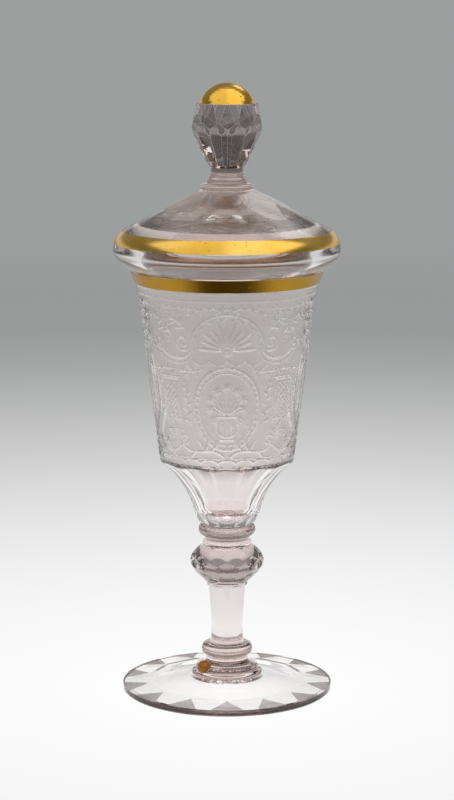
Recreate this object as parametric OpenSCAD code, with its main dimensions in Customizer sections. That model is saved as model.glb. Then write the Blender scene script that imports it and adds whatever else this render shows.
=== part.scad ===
// Covered glass goblet: a cut and gilded drinking glass on a knopped stem, with a lift-off lid.
// Every piece of glass that was gathered and joined hot is a solid of its own.
// The axis is Z, the foot stands on Z = 0, and all sizes are in millimetres.

/* [Foot] */
// Diameter of the foot
foot_d = 103.6; // [90:0.2:120]
// Thickness of the foot at its edge
foot_rim_t = 3.3; // [2.5:0.1:5]
// Number of cut panels round the foot
foot_panels = 14; // [10:1:20]
// Length of a cut panel, from the edge inwards
foot_panel_len = 13.3; // [8:0.1:16]
// Slope of the cut panels, in degrees
foot_panel_slope = 4.5; // [2:0.1:9]
// Rise from the panels to the seat of the stem
foot_dome_h = 3.6; // [2:0.1:7]
// Width of the flat ring on which the foot stands
rest_w = 3; // [2:0.1:6]
// Depth of the hollow under the foot
kick_h = 4.4; // [3.4:0.1:4.8]
// Chamfer along the lower edge of the foot
foot_chamfer = 0.8; // [0.3:0.1:1.2]

/* [Stem base] */
// Diameter of the stem base where it stands on the foot
base_d = 34.8; // [30:0.2:42]
// Diameter of the lip half way up the stem base
base_lip_d = 30.4; // [26:0.2:30.6]
// Height of the lip above the foot
base_lip_z = 3.9; // [3:0.1:5]
// Height of the stem base
base_h = 8.3; // [7:0.1:11]
// Diameter of the neck on top of the stem base
base_neck_d = 20.2; // [16:0.2:22]

/* [Lower ring] */
// Diameter of the ring at the bottom of the column
lower_ring_d = 25.3; // [23:0.1:30]
// Height of that ring
lower_ring_h = 7.9; // [6:0.1:10]

/* [Column] */
// Diameter of the column where it stands on its ring
column_foot_d = 16.6; // [15.6:0.1:18]
// Least diameter of the column
column_waist_d = 15; // [12:0.1:15.4]
// Diameter of the column under the knop
column_top_d = 18.2; // [16:0.1:19]
// Height of the column
column_h = 28.8; // [24:0.1:40]

/* [Knop] */
// Diameter of the knop across the faces of its girth
knop_d = 35.4; // [32:0.2:40]
// Height of the knop
knop_h = 19.7; // [19:0.1:24]
// Height of the girth's faces above the bottom of the knop
knop_girth_z = 11.1; // [10.5:0.1:11.6]
// Number of faces in each row round the girth
knop_faces = 12; // [10:2:16]
// How much wider the knop was before it was cut
knop_cut = 0.5; // [0.3:0.05:0.7]
// Diameter of the knop's round shoulder
knop_shoulder_d = 26; // [24:0.2:28]
// Diameter of the flat on which the collar stands
knop_top_d = 23.2; // [21:0.2:23.6]

/* [Collar and upper ring] */
// Diameter of the collar on the knop
collar_d = 24.2; // [22:0.1:25]
// Height of the collar
collar_h = 3.7; // [3:0.1:6]
// Diameter of the neck between the collar and the ring
neck_d = 21.3; // [17:0.1:21.6]
// Diameter of the ring under the bowl
upper_ring_d = 28.2; // [26:0.1:34]
// Height of that ring
upper_ring_h = 7.8; // [6:0.1:10]

/* [Bowl] */
// Diameter of the cup where it stands on its ring
cup_foot_d = 24.8; // [22:0.1:25.6]
// Diameter of the cup where its curve turns
cup_waist_d = 33.6; // [30:0.2:38]
// Height of that turn above the ring
cup_waist_z = 9.3; // [7:0.1:12]
// Height of the fluted cup
cup_h = 32.6; // [28:0.2:40]
// Number of flutes round the cup
flutes = 12; // [8:2:16]
// Thickness of solid glass under the hollow
cup_floor_t = 3; // [2:0.1:5]
// Thickness of the cup's wall where its curve turns
cup_wall = 4.5; // [3.5:0.1:6]
// Diameter of the engraved drum at its lower edge
drum_d = 66; // [60:0.5:74]
// Height of the bowl
bowl_h = 126.4; // [110:0.2:150]
// Height of the flared lip
flare_h = 12; // [9:0.5:18]
// Diameter of the drum where the lip begins to flare
flare_d = 86.8; // [80:0.2:90]
// Diameter of the bowl at its mouth
mouth_d = 94.8; // [91:0.2:104]
// Thickness of the bowl's wall
wall = 3; // [2.2:0.1:3.4]

/* [Lid] */
// Diameter of the lid
lid_d = 110.7; // [104:0.1:124]
// Height of the lid's panels above the bowl's lip
lid_h = 37.8; // [36:0.1:46]
// Radius of the rolled rim
roll_r = 11; // [10.6:0.1:12]
// Height of the roll's middle above the bowl's lip
roll_z = 9.5; // [9:0.1:10.2]
// Angle of the roll's upper end, in degrees above the level
roll_top = 67; // [60:1:70]
// Number of panels cut on the lid
lid_panels = 8; // [6:1:12]
// Radius to which the panels reach down
lid_panel_r = 36; // [30:0.5:40]
// Height of the panels' lower end above the bowl's lip
lid_panel_z = 26.1; // [25:0.1:27.5]
// Distance from the axis to the panels at the top of the lid
lid_top_r = 13.2; // [13:0.1:15]
// Height of the round seat for the finial on top of the panels
lid_seat_h = 0.3; // [0.2:0.1:1]
// Turn of the panels about the axis, in degrees
lid_turn = -3; // [-22:0.5:22]
// Thickness of the lid's glass under its top
lid_crown_t = 7; // [5:0.5:10]
// Thickness of the lid's wall
lid_wall = 4; // [3:0.1:4.5]
// Depth of the flange that sits in the bowl's mouth
flange_len = 6.5; // [4:0.1:10]
// Thickness of the flange
flange_t = 2.6; // [1.8:0.1:3]
// Play between the flange and the bowl
flange_gap = 0.7; // [0.3:0.05:1.2]

/* [Finial] */
// Diameter of the ring on the lid
finial_ring_d = 26.4; // [25:0.1:32]
// Height of that ring
finial_ring_h = 3.5; // [2.5:0.1:6]
// Diameter of the ring's foot on the lid
finial_seat_d = 24.4; // [22:0.1:24.8]
// Diameter of the finial's neck at its bottom
finial_neck_d = 19.4; // [17:0.1:22]
// Height of the finial's neck
finial_neck_h = 5; // [3:0.1:8]
// Diameter of the knob where it stands on its neck
knob_foot_d = 15.8; // [13:0.1:17]
// Height of the knob's plain neck
knob_neck_h = 2.2; // [1.5:0.1:3]
// Diameter of the knob across its cut faces
knob_d = 34; // [30:0.2:38]
// Height of the knob to its ledge
knob_h = 33; // [31:0.5:40]
// Height of the widest part above the bottom of the knob
knob_girth_z = 24; // [21:0.5:25.5]
// Diameter of the ledge at the top of the knob
knob_ledge_d = 29.7; // [28.4:0.1:31]
// Number of faces in each row round the knob
knob_faces = 12; // [10:2:16]
// How much wider the knob was before it was cut
knob_cut = 0.6; // [0.4:0.05:0.8]
// Turn of the knob about the axis, in degrees
knob_turn = 16; // [0:1:30]
// Diameter of the gilded dome
dome_d = 26.8; // [24:0.1:28]
// Height of the gilded dome
dome_h = 9.8; // [8:0.1:12]

/* [Gilding] */
// Thickness of the gold
leaf_t = 0.24; // [0.1:0.02:0.3]
// Depth to which the gold lies in the glass
leaf_inset = 0.1; // [0.05:0.01:0.1]
// Height of the gold band on the bowl
bowl_band_h = 6; // [4:0.1:8]
// Clear glass between that band and the lip
bowl_band_drop = 0.6; // [0.6:0.1:3]
// Lower edge of the gold on the lid's roll, in degrees above the level
lid_band_low = 16; // [5:1:30]
// Upper edge of the gold on the lid's roll, in degrees above the level
lid_band_high = 55; // [45:1:64]

/* [Lacquer drop] */
// Diameter of the drop of old lacquer on the stem base
drop_d = 6.8; // [5:0.1:7.2]
// Depth to which the drop's middle lies inside the stem base's edge
drop_sink = 2.8; // [2:0.1:4]
// Height of the drop's middle above the foot
drop_z = 4.6; // [3.8:0.1:4.8]
// Direction of the drop about the axis, in degrees from +X
drop_turn = -141; // [-180:1:180]

/* [Hidden] */

$fn = 96;
curve_steps = 12;
// Size of the blocks that cut the faces, more than any piece they cut
cut_reach = foot_d;
overshoot = 1;

// Heights at which each piece stands on the one below
panel_edge_z = foot_rim_t + foot_panel_len * tan(foot_panel_slope);
base_z = panel_edge_z + foot_dome_h;
lower_ring_z = base_z + base_h;
column_z = lower_ring_z + lower_ring_h;
knop_z = column_z + column_h;
collar_z = knop_z + knop_h;
upper_ring_z = collar_z + collar_h;
bowl_z = upper_ring_z + upper_ring_h;
lip_z = bowl_z + bowl_h;
finial_ring_z = lip_z + lid_h + lid_seat_h;
finial_neck_z = finial_ring_z + finial_ring_h;
knob_z = finial_neck_z + finial_neck_h;

glass = [0.86, 0.80, 0.80, 0.5];
gold = [0.83, 0.62, 0.18];
amber = [0.62, 0.30, 0.04, 0.9];

// Points on a circle about c, from angle a to angle b
function arc(c, r, a, b, n = curve_steps) =
    [for (i = [0:n]) let (t = a + (b - a) * i / n) c + r * [cos(t), sin(t)]];

// Points on a smooth curve from p to s that leaves towards q and arrives from r
function curve(p, q, r, s, n = curve_steps) =
    [for (i = [0:n]) let (t = i / n, u = 1 - t)
        u * u * u * p + 3 * u * u * t * q + 3 * u * t * t * r + t * t * t * s];

// A solid turned from an outline of [radius, height] points
module turned(outline) {
    rotate_extrude() polygon(outline);
}

// Everything past a flat face that stands off [0, 0, z] by reach, tilted up by rise and turned by turn
module past_face(z, reach, rise, turn) {
    translate([0, 0, z]) rotate([0, -rise, turn])
        translate([reach, -cut_reach / 2, -cut_reach / 2]) cube(cut_reach);
}

// A row of equal faces round the axis
module face_row(count, first, z, reach, rise) {
    for (i = [0:count - 1]) past_face(z, reach, rise, first + i * 360 / count);
}

// Everything above a flat panel that starts at radius r and height z and slopes down outwards
module above_panel(r, z, slope, turn, from, to) {
    rotate(turn) translate([r, 0, z]) rotate([0, slope, 0])
        translate([from, -cut_reach / 2, 0]) cube([to - from, cut_reach, cut_reach]);
}

// Foot: a plate with a hollow under it and a gem-cut border
module foot() {
    edge = foot_d / 2;
    panel_r = edge - foot_panel_len;
    // A level ring is left inside the panels, and a short ridge before each corner face
    level_w = 1.5;
    ridge_len = 0.6;
    corner_r = panel_r / cos(180 / foot_panels) + ridge_len;
    // The corner faces fall so much faster that they take this share of the edge
    corner_half = 0.7 * 180 / foot_panels;
    fall = (edge * cos(180 / foot_panels - corner_half) - panel_r) * tan(foot_panel_slope);
    ridge_fall = ridge_len * cos(180 / foot_panels) * tan(foot_panel_slope);
    corner_slope = atan((fall - ridge_fall) / (edge * cos(corner_half) - corner_r));
    dome_r = panel_r - level_w;
    // The hollow rises with the slope of the panels and then with the dome
    kick_r = edge - foot_chamfer - rest_w;
    dome_foot = [dome_r, (kick_r - dome_r) * tan(foot_panel_slope)];
    hollow = concat([[0, kick_h]], curve([base_d / 2, kick_h], [base_d / 2 + foot_dome_h, kick_h],
        dome_foot - [foot_dome_h, 0], dome_foot), [[kick_r, 0]]);
    dome = curve([dome_r, panel_edge_z], [dome_r - foot_dome_h, panel_edge_z],
        [base_d / 2 + foot_dome_h, base_z], [base_d / 2, base_z]);
    color(glass) difference() {
        turned(concat(hollow, [[edge - foot_chamfer, 0], [edge, foot_chamfer], [edge, panel_edge_z]],
            dome, [[0, base_z]]));
        for (i = [0:foot_panels - 1]) let (turn = i * 360 / foot_panels) {
            above_panel(panel_r, panel_edge_z, foot_panel_slope, turn, -level_w, cut_reach);
            above_panel(corner_r, panel_edge_z - ridge_fall, corner_slope, turn + 180 / foot_panels,
                -level_w, cut_reach);
        }
    }
}

// Stem base: a low spreading cone with a lip, which joins the stem to the foot
module stem_base_form() {
    edge = base_d / 2;
    lip = base_lip_d / 2;
    neck = base_neck_d / 2;
    skirt = curve([edge, 0], [edge, base_lip_z / 2], [lip, base_lip_z / 2], [lip, base_lip_z]);
    hollow = curve([lip - 1, base_lip_z + 0.3], [neck + 1, base_lip_z + 0.8],
        [neck, base_h - 2], [neck, base_h]);
    turned(concat([[0, 0]], skirt, hollow, [[0, base_h]]));
}
module stem_base() {
    color(glass) translate([0, 0, base_z]) stem_base_form();
}

// Points on a quarter of an oval from p to s, which leaves p along the level when flat is 1
function quarter(p, s, flat) =
    let (bow = 0.552, corner = flat == 1 ? [s.x, p.y] : [p.x, s.y])
    curve(p, p + bow * (corner - p), s + bow * (corner - s), s);

// A round-edged ring between two necks
function ring_outline(low_r, ring_r, high_r, h, low_z, high_z) =
    let (mid = [ring_r, (low_z + high_z) / 2])
    concat([[0, 0], [low_r, 0]], quarter([low_r, low_z], mid, 1), quarter(mid, [high_r, high_z], 0),
        [[high_r, h], [0, h]]);

// Lower ring: the bead of glass between the stem base and the column
module lower_ring() {
    color(glass) translate([0, 0, lower_ring_z])
        turned(ring_outline(base_neck_d / 2, lower_ring_d / 2, column_foot_d / 2, lower_ring_h,
            0.9, lower_ring_h - 0.5));
}

// Column: the plain tapered stem
module stem_column() {
    foot_r = column_foot_d / 2;
    waist_r = column_waist_d / 2;
    top_r = column_top_d / 2;
    flank = curve([foot_r, 0], [waist_r, column_h / 8], [waist_r, column_h / 4], [top_r, column_h]);
    color(glass) translate([0, 0, column_z]) turned(concat([[0, 0]], flank, [[0, column_h]]));
}

// Knop: a turned bulb of glass, ground into rows of flat faces
module stem_knop() {
    girth_r = knop_d / 2 + knop_cut;
    foot_r = column_top_d / 2;
    shoulder_r = knop_shoulder_d / 2;
    // The bead round the knop's foot, and the round edge of its top
    bead_r = foot_r + 1.3;
    bead_h = 1.6;
    edge = 0.2;
    lower = curve([bead_r, bead_h], [bead_r, bead_h] + [2.2, 2.2],
        [girth_r, knop_girth_z - 2.7], [girth_r, knop_girth_z + knop_cut]);
    upper = curve([girth_r, knop_girth_z + 3 * knop_cut], [girth_r, knop_girth_z + 4],
        [shoulder_r + bead_h, knop_h - 1], [shoulder_r, knop_h - edge]);
    // Slopes of the three rows of faces, and how far the outer rows lie from the girth row;
    // the faces of the girth row lean less and more by turns
    girth_rise = [-13, -1];
    upper_rise = 26;
    upper_at = [knop_d / 2 - 0.6, knop_girth_z + 3.8];
    lens_rise = -38.5;
    lens_at = [knop_d / 2 - 1.55, knop_girth_z - 2.85];
    color(glass) translate([0, 0, knop_z]) difference() {
        turned(concat([[0, 0], [foot_r, 0], [bead_r, 2 * edge]], lower, upper,
            [[knop_top_d / 2, knop_h], [0, knop_h]]));
        face_row(knop_faces / 2, 0, lens_at.y, lens_at.x * cos(lens_rise), lens_rise);
        for (k = [0, 1])
            face_row(knop_faces / 2, k * 360 / knop_faces, knop_girth_z,
                knop_d / 2 * cos(girth_rise[k]), girth_rise[k]);
        face_row(knop_faces, 180 / knop_faces, upper_at.y, upper_at.x * cos(upper_rise), upper_rise);
    }
}

// Collar: the flat ring that caps the knop
module knop_collar() {
    color(glass) translate([0, 0, collar_z])
        turned(ring_outline(knop_top_d / 2, collar_d / 2, neck_d / 2, collar_h, 0.3, collar_h - 0.4));
}

// Upper ring: the round ring that carries the bowl
module upper_ring() {
    color(glass) translate([0, 0, upper_ring_z])
        turned(ring_outline(neck_d / 2, upper_ring_d / 2, cup_foot_d / 2, upper_ring_h,
            1.4, upper_ring_h - 0.6));
}

// The cup's outline in the middle of a flute, from its foot to the drum's edge
function cup_flank() =
    let (foot_p = [cup_foot_d / 2, 0], waist_p = [cup_waist_d / 2, cup_waist_z],
        edge_p = [drum_d / 2, cup_h], span = cup_h - cup_waist_z)
    concat(
        curve(foot_p, [foot_p.x + 2, cup_waist_z / 6], [waist_p.x - 0.8, cup_waist_z * 0.6], waist_p),
        curve(waist_p, waist_p + [1.6, span * 0.28], edge_p - [9, span * 0.26], edge_p));

// The drum's outline from its lower edge to the lip, grown by a thickness
function drum_flank(grow) =
    let (edge_p = [drum_d / 2 + grow, cup_h], flare_p = [flare_d / 2 + grow, bowl_h - flare_h],
        mouth_p = [mouth_d / 2 + grow, bowl_h])
    concat([edge_p], curve(flare_p, flare_p + [0.9, flare_h / 3],
        mouth_p - [1.4, flare_h / 3], mouth_p));

// Radius of a line of [radius, height] points at a height
function radius_at(line, z) = lookup(z, [for (p = line) [p.y, p.x]]);

// Bowl: a thick-walled blown cup, its drum left round for engraving and its base cut into flutes
module bowl() {
    lip_round = 0.5;
    drum = drum_flank(0);
    inside = drum_flank(-wall);
    last = len(inside) - 1;
    // The hollow turns with the cup's flank and runs into the drum a little above its edge
    turn_p = [cup_waist_d / 2 - cup_wall, cup_waist_z + overshoot];
    drum_z = cup_h + 1.5;
    drum_p = [radius_at(inside, drum_z), drum_z];
    span = drum_p.y - turn_p.y;
    hollow = concat(
        curve([0, cup_floor_t], [turn_p.x * 0.65, cup_floor_t], turn_p - [1, span / 6], turn_p),
        curve(turn_p, turn_p + [1.6, span / 4], drum_p - [8, span / 4], drum_p));
    // Above the flutes the cut runs on outwards, clear of the drum
    cut = concat(cup_flank(), [[mouth_d, cup_h + mouth_d / 2], [mouth_d, bowl_h + overshoot]]);
    mirrored = [for (i = [len(cut) - 1:-1:0]) [-cut[i].x, cut[i].y]];
    color(glass) translate([0, 0, bowl_z]) difference() {
        intersection() {
            turned(concat([[0, 0], [drum_d / 2, 0]], [for (p = drum) if (p.y < bowl_h) p],
                [[mouth_d / 2 - 0.1, bowl_h - lip_round], [mouth_d / 2 - lip_round, bowl_h], [0, bowl_h]]));
            intersection_for(i = [0:flutes / 2 - 1])
                rotate([90, 0, 90 + i * 360 / flutes])
                    linear_extrude(2 * mouth_d, center = true) polygon(concat(cut, mirrored));
        }
        turned(concat(hollow, [for (i = [1:last]) inside[i]], [[inside[last].x, bowl_h + overshoot],
            [0, bowl_h + overshoot]]));
        bowl_band(leaf_t);
    }
}

// The ring of space that the gold band fills, as deep as the leaf's inset
function band_line() =
    let (high = bowl_h - bowl_band_drop, low = high - bowl_band_h, flank = drum_flank(0), n = 6)
    [for (i = [0:n]) let (z = low + (high - low) * i / n) [radius_at(flank, z), z]];
module bowl_band(proud) {
    line = band_line();
    turned(concat([for (p = line) p + [-leaf_inset, 0]],
        [for (i = [len(line) - 1:-1:0]) line[i] + [proud, 0]]));
}

// Gilding of the bowl: a fired band of gold under the lip
module bowl_gilding() {
    color(gold) translate([0, 0, bowl_z]) bowl_band(leaf_t - leaf_inset);
}

// Lacquer drop: an old amber-coloured drop that clings to the stem base
module lacquer_drop() {
    color(amber) translate([0, 0, base_z]) difference() {
        rotate(drop_turn) translate([base_d / 2 - drop_sink, 0, drop_z]) sphere(d = drop_d);
        stem_base_form();
        translate([0, 0, -cut_reach]) cylinder(r = cut_reach, h = cut_reach);
    }
}

// Middle of the lid's rolled rim
roll_c = [lid_d / 2 - roll_r, roll_z];

// Lid: a panelled cone with a thick rolled rim and a flange that sits in the bowl
module lid_shell() {
    panel_slope = atan((lid_h - lid_panel_z) / (lid_panel_r - lid_top_r));
    blank_slope = atan(tan(panel_slope) / cos(180 / lid_panels) / cos(180 / lid_panels));
    blank_top_r = lid_panel_r - (lid_h - lid_panel_z) / tan(blank_slope);
    inner = drum_flank(-wall - flange_gap);
    flange_r = radius_at(inner, bowl_h - flange_len);
    seat_r = radius_at(inner, bowl_h);
    crown_z = lid_h - lid_crown_t;
    // The roll tucks in below its middle, down to the bowl's mouth
    mouth_r = mouth_d / 2;
    tuck = curve([mouth_r, 0], [mouth_r + 5, roll_z * 0.3], [lid_d / 2, roll_z * 0.63], [lid_d / 2, roll_z]);
    // Height of the hollow's side, under the lower end of the panels
    side_z = lid_panel_z - lid_wall - (roll_c.x - flange_t - lid_panel_r) * tan(panel_slope);
    hollow = [[0, crown_z], [lid_top_r / 2, crown_z], [roll_c.x - flange_t, side_z],
        [seat_r - flange_t, 0], [flange_r - flange_t, -flange_len - overshoot],
        [0, -flange_len - overshoot]];
    color(glass) translate([0, 0, lip_z]) difference() {
        union() {
            difference() {
                turned(concat([[0, 0]], tuck, [for (p = arc(roll_c, roll_r, 0, roll_top)) if (p.y > roll_z) p],
                    [[lid_panel_r, lid_panel_z], [blank_top_r, lid_h], [0, lid_h]]));
                for (i = [0:lid_panels - 1])
                    above_panel(lid_panel_r, lid_panel_z, panel_slope,
                        lid_turn + i * 360 / lid_panels, -cut_reach, 0);
            }
            turned([[0, 0], [0, -flange_len], [flange_r, -flange_len], [seat_r, 0]]);
            translate([0, 0, crown_z]) cylinder(d = finial_seat_d, h = lid_crown_t + lid_seat_h);
        }
        turned(hollow);
        lid_band(leaf_t);
    }
}

// The space that the gold on the roll fills
module lid_band(proud) {
    turned(concat(arc(roll_c, roll_r - leaf_inset, lid_band_low, lid_band_high),
        arc(roll_c, roll_r + proud, lid_band_high, lid_band_low)));
}

// Gilding of the lid: gold on the upper half of the rolled rim
module lid_gilding() {
    color(gold) translate([0, 0, lip_z]) lid_band(leaf_t - leaf_inset);
}

// Finial ring: the flat ring on top of the lid
module finial_ring() {
    color(glass) translate([0, 0, finial_ring_z])
        turned(ring_outline(finial_seat_d / 2, finial_ring_d / 2, finial_neck_d / 2, finial_ring_h,
            0.4, finial_ring_h - 0.3));
}

// Finial neck: a short cone that carries the knob
module finial_neck() {
    low_r = finial_neck_d / 2;
    high_r = knob_foot_d / 2;
    flank = curve([low_r, 0.4], [low_r, finial_neck_h / 2],
        [high_r, finial_neck_h / 2], [high_r, finial_neck_h]);
    color(glass) translate([0, 0, finial_neck_z])
        turned(concat([[0, 0], [low_r, 0]], flank, [[0, finial_neck_h]]));
}

// Radius of the ball whose top is the gilded dome
function dome_r() = (dome_d * dome_d / 4 + dome_h * dome_h) / (2 * dome_h);
function dome_line(grow) =
    let (r = dome_r(), half = asin(dome_d / 2 / r), c = [0, knob_h + dome_h - r])
    arc(c, r + grow, 90 - half, 90);

// Finial knob: an egg of glass cut into long flutes, with crossed faces over their heads
module finial_knob() {
    girth_r = knob_d / 2 + knob_cut;
    foot_r = knob_foot_d / 2;
    ledge_r = knob_ledge_d / 2;
    top_z = knob_h + dome_h + overshoot;
    // A flute leans out from the neck and turns upright towards the girth
    flute_r = knob_d / 2 - 0.1;
    flute_foot = [foot_r + 0.9, knob_neck_h + 0.8];
    flute_lean = [0.42, 1] * knob_girth_z * 3 / 8;
    flute = concat([[flute_foot.x, -overshoot]],
        curve(flute_foot, flute_foot + flute_lean, [flute_r - 0.2, knob_girth_z - 5], [flute_r, knob_girth_z]),
        [[flute_r, top_z]]);
    mirrored = [for (i = [len(flute) - 1:-1:0]) [-flute[i].x, flute[i].y]];
    // The faces between the flutes rise to the ledge, and those over the flutes lean back to it
    between_r = knob_d / 2 - 0.15;
    between_z = knob_girth_z - 2;
    between_rise = atan((between_r - ledge_r) / (knob_h - between_z));
    over_z = knob_girth_z;
    over_rise = atan((flute_r - ledge_r + 0.3) / (knob_h - over_z));
    lower = curve([foot_r, knob_neck_h], [foot_r + 3.2, 2 * knob_neck_h],
        [girth_r, knob_girth_z - 6.5], [girth_r, knob_girth_z]);
    upper = curve([girth_r, knob_girth_z], [girth_r, knob_girth_z + 4],
        [ledge_r + 1.4, knob_h - 2], [ledge_r + knob_cut, knob_h]);
    color(glass) translate([0, 0, knob_z]) difference() {
        intersection() {
            turned(concat([[0, 0], [foot_r, 0]], lower, [for (p = upper) if (p.y > knob_girth_z) p],
                dome_line(-leaf_inset)));
            intersection_for(i = [0:knob_faces / 2 - 1])
                rotate([90, 0, knob_turn + i * 360 / knob_faces])
                    linear_extrude(2 * knob_d, center = true) polygon(concat(flute, mirrored));
        }
        face_row(knob_faces, knob_turn + 180 / knob_faces, between_z,
            between_r * cos(between_rise), between_rise);
        face_row(knob_faces, knob_turn, over_z, flute_r * cos(over_rise), over_rise);
    }
}

// Gilding of the finial: gold over the dome
module finial_gilding() {
    inner = dome_line(-leaf_inset);
    outer = dome_line(leaf_t - leaf_inset);
    color(gold) translate([0, 0, knob_z])
        turned(concat(inner, [for (i = [len(outer) - 1:-1:0]) outer[i]]));
}

foot();
stem_base();
lower_ring();
stem_column();
stem_knop();
knop_collar();
upper_ring();
bowl();
bowl_gilding();
lacquer_drop();
lid_shell();
lid_gilding();
finial_ring();
finial_neck();
finial_knob();
finial_gilding();
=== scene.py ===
import math
import bpy
import numpy as np
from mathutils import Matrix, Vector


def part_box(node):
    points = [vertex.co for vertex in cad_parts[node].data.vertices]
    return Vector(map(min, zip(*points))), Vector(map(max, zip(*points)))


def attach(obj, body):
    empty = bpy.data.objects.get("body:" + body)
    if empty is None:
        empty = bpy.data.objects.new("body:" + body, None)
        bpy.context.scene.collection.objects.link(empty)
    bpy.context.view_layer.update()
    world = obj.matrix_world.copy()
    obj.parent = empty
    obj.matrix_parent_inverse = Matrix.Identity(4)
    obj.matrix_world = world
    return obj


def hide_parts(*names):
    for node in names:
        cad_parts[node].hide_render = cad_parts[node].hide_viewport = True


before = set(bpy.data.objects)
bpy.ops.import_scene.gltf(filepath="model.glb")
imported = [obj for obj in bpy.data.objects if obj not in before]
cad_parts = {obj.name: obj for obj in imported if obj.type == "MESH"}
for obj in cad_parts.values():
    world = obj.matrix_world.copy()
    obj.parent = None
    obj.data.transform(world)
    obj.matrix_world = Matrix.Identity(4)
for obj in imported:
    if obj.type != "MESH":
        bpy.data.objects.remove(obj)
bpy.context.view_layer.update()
scene = bpy.context.scene
bpy.ops.object.select_all(action="DESELECT")


# Foot
# A thick round plate of faintly mauve glass with a shallow hollow under it. Its border is ground into
# flat panels, which are polished, and into small corner faces between them, which keep their matt grinding.

def glass_copy(node, name):
    """A copy of a node's mesh with its loose triangles welded."""
    piece = bpy.data.objects.new(name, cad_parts[node].data.copy())
    piece.data.name = name
    piece.data.materials.clear()
    scene.collection.objects.link(piece)
    bpy.ops.object.select_all(action="DESELECT")
    piece.select_set(True)
    bpy.context.view_layer.objects.active = piece
    bpy.ops.object.mode_set(mode="EDIT")
    bpy.ops.mesh.select_all(action="SELECT")
    bpy.ops.mesh.remove_doubles(threshold=1e-6)
    bpy.ops.mesh.customdata_custom_splitnormals_clear()
    bpy.ops.object.mode_set(mode="OBJECT")
    return piece


def ground_faces(mesh):
    """For each face, the ground face it belongs to and that ground face's area.

    The triangles of one ground face lie in one plane and hang together.
    """
    beside, meets = {}, {}
    one_plane = math.cos(math.radians(0.4))
    for face in mesh.polygons:
        for edge in face.edge_keys:
            if edge in beside:
                other = mesh.polygons[beside[edge]]
                if face.normal.dot(other.normal) > one_plane:
                    meets.setdefault(face.index, []).append(other.index)
                    meets.setdefault(other.index, []).append(face.index)
            beside[edge] = face.index
    member = np.arange(len(mesh.polygons))
    area = np.array([face.area for face in mesh.polygons])
    done = set()
    for first in meets:
        if first in done:
            continue
        group, waiting = {first}, [first]
        while waiting:
            fresh = [n for n in meets[waiting.pop()] if n not in group]
            group.update(fresh)
            waiting.extend(fresh)
        done |= group
        member[list(group)] = first
        area[list(group)] = sum(mesh.polygons[i].area for i in group)
    return member, area


def select_none(mesh):
    """Deselects every vertex, edge and face of a mesh that is in object mode."""
    for part in (mesh.vertices, mesh.edges, mesh.polygons):
        part.foreach_set("select", np.zeros(len(part), dtype=bool))


def polish(piece, round_below, ground_above):
    """Smooths the round surfaces, and keeps ground faces larger than ground_above flat and sharp."""
    bpy.ops.object.select_all(action="DESELECT")
    piece.select_set(True)
    bpy.context.view_layer.objects.active = piece
    bpy.ops.object.shade_smooth_by_angle(angle=math.radians(round_below))
    mesh = piece.data
    area = ground_faces(mesh)[1]
    select_none(mesh)
    mesh.polygons.foreach_set("select", area > ground_above)
    bpy.ops.object.mode_set(mode="EDIT")
    bpy.ops.mesh.select_mode(type="FACE")
    bpy.ops.mesh.faces_shade_flat()
    bpy.ops.mesh.mark_sharp()
    bpy.ops.object.mode_set(mode="OBJECT")
    return area


def cut_glass(name, clear, veined, rough=0.015):
    """Polished soda glass: a faint tint that drifts along its veins, and a slightly wavy surface."""
    material = bpy.data.materials.new(name)
    material.use_nodes = True
    nodes, links = material.node_tree.nodes, material.node_tree.links
    shader = nodes["Principled BSDF"]
    shader.inputs["Roughness"].default_value = rough
    shader.inputs["IOR"].default_value = 1.5
    shader.inputs["Transmission Weight"].default_value = 1.0
    place = nodes.new("ShaderNodeTexCoord")
    vein = nodes.new("ShaderNodeTexNoise")
    vein.inputs["Scale"].default_value = 55.0
    vein.inputs["Detail"].default_value = 3.0
    vein.inputs["Distortion"].default_value = 1.2
    tint = nodes.new("ShaderNodeValToRGB")
    tint.color_ramp.elements[0].position = 0.35
    tint.color_ramp.elements[0].color = (*clear, 1)
    tint.color_ramp.elements[1].position = 0.75
    tint.color_ramp.elements[1].color = (*veined, 1)
    wave = nodes.new("ShaderNodeTexNoise")
    wave.inputs["Scale"].default_value = 120.0
    wave.inputs["Detail"].default_value = 1.0
    bump = nodes.new("ShaderNodeBump")
    bump.inputs["Strength"].default_value = 0.25
    bump.inputs["Distance"].default_value = 0.0002
    links.new(place.outputs["Object"], vein.inputs["Vector"])
    links.new(vein.outputs["Fac"], tint.inputs["Fac"])
    links.new(tint.outputs["Color"], shader.inputs["Base Color"])
    links.new(place.outputs["Object"], wave.inputs["Vector"])
    links.new(wave.outputs["Fac"], bump.inputs["Height"])
    links.new(bump.outputs["Normal"], shader.inputs["Normal"])
    return material


def fused(piece, at, surface, near=2e-5):
    """Gives the level faces near the heights in at the clear joint, and all else the surface."""
    piece.data.materials.append(surface)
    piece.data.materials.append(joint)
    for face in piece.data.polygons:
        level = abs(face.normal.z) > 0.999
        face.material_index = int(level and any(abs(face.center.z - z) < near for z in at))


# Where two pieces were joined hot there is no surface left inside the glass
joint = bpy.data.materials.new("hot_joint")
joint.use_nodes = True
joint.node_tree.nodes["Principled BSDF"].inputs["Alpha"].default_value = 0.0

foot_glass = cut_glass("foot_glass", (0.985, 0.965, 0.96), (0.97, 0.94, 0.935))
matt_glass = cut_glass("matt_grinding", (0.73, 0.64, 0.635), (0.67, 0.575, 0.57), rough=0.45)
# The upright outer edge of the foot is tinted almost black: painted shade, not the colour of its glass.
rim_painted_shade = cut_glass("rim_painted_shade", (0.07, 0.035, 0.035), (0.05, 0.022, 0.022))
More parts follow.
